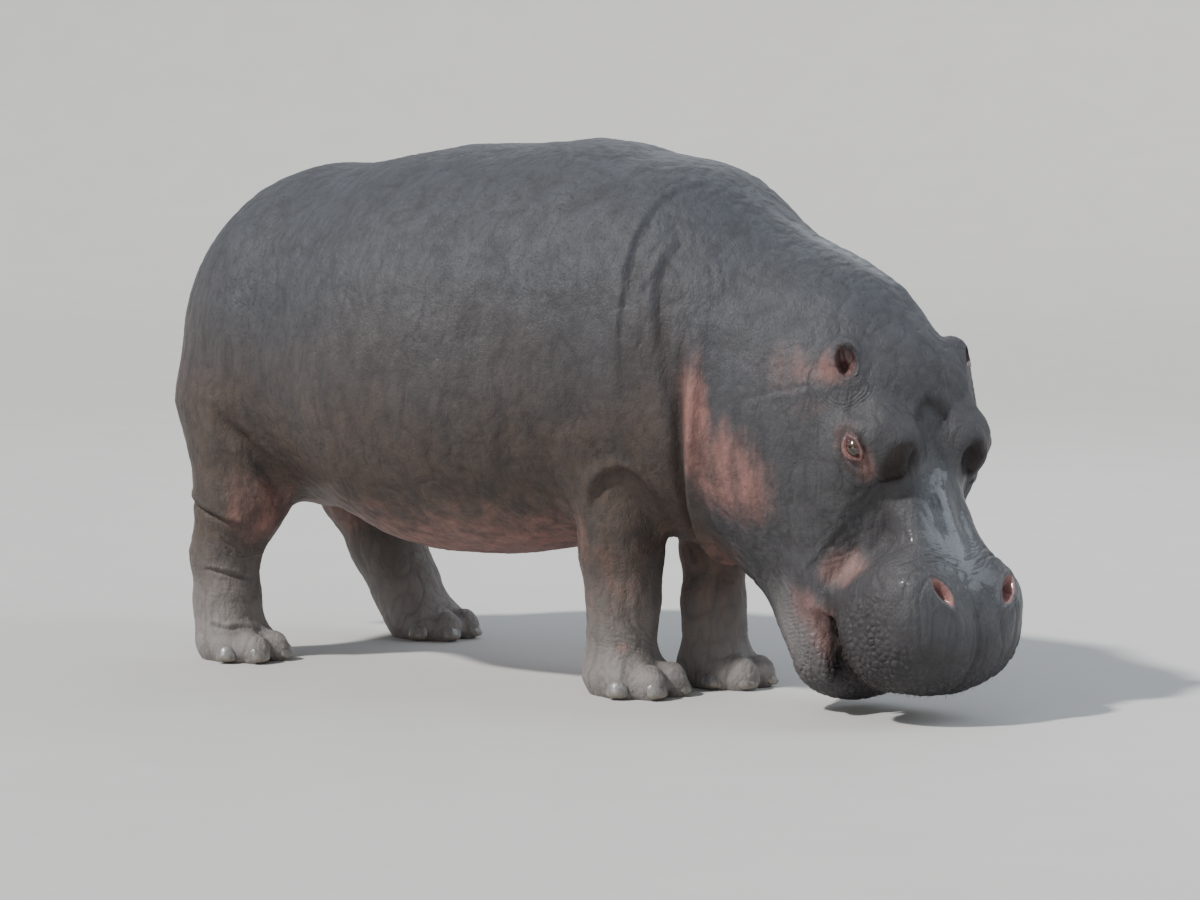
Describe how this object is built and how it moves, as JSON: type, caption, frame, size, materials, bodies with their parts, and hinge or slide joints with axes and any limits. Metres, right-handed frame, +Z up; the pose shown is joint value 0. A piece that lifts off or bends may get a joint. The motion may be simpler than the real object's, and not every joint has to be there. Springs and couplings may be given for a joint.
{
  "type": "hippopotamus",
  "caption": "Still, life-size model of a common hippopotamus standing with its head lowered to graze, for display or as a scene prop.",
  "frame": {"origin": "on the floor under the middle of the bounding box", "axes": "+X the way the animal's body faces, +Y its left, +Z up"},
  "size_m": [2.7659, 1.1478, 1.4273],
  "materials": {
    "hide": "slate grey hide with a dull sheen, wet on the snout, pink round the ears, throat and belly",
    "nail": "smooth grey horn, a little glossy, yellowish at the lower edge",
    "eye": "wet, dark brown",
    "tongue": "moist pink flesh",
    "tooth": "yellowed enamel"
  },
  "bodies": {
    "root": {"head": "hide", "lower_jaw": "hide", "neck": "hide", "trunk": "hide", "tail": "hide", "right_ear": "hide", "left_ear": "hide", "right_foreleg": "hide", "left_foreleg": "hide", "right_hind_leg": "hide", "left_hind_leg": "hide", "right_forefoot": "hide", "left_forefoot": "hide", "right_hind_foot": "hide", "left_hind_foot": "hide", "right_forefoot_nail_1": "nail", "right_forefoot_nail_2": "nail", "right_forefoot_nail_3": "nail", "right_forefoot_nail_4": "nail", "left_forefoot_nail_1": "nail", "left_forefoot_nail_2": "nail", "left_forefoot_nail_3": "nail", "left_forefoot_nail_4": "nail", "right_hind_foot_nail_1": "nail", "right_hind_foot_nail_2": "nail", "right_hind_foot_nail_3": "nail", "right_hind_foot_nail_4": "nail", "left_hind_foot_nail_1": "nail", "left_hind_foot_nail_2": "nail", "left_hind_foot_nail_3": "nail", "left_hind_foot_nail_4": "nail", "right_eye": "eye", "left_eye": "eye", "tongue": "tongue", "lower_teeth": "tooth"}
  },
  "joints": []
}
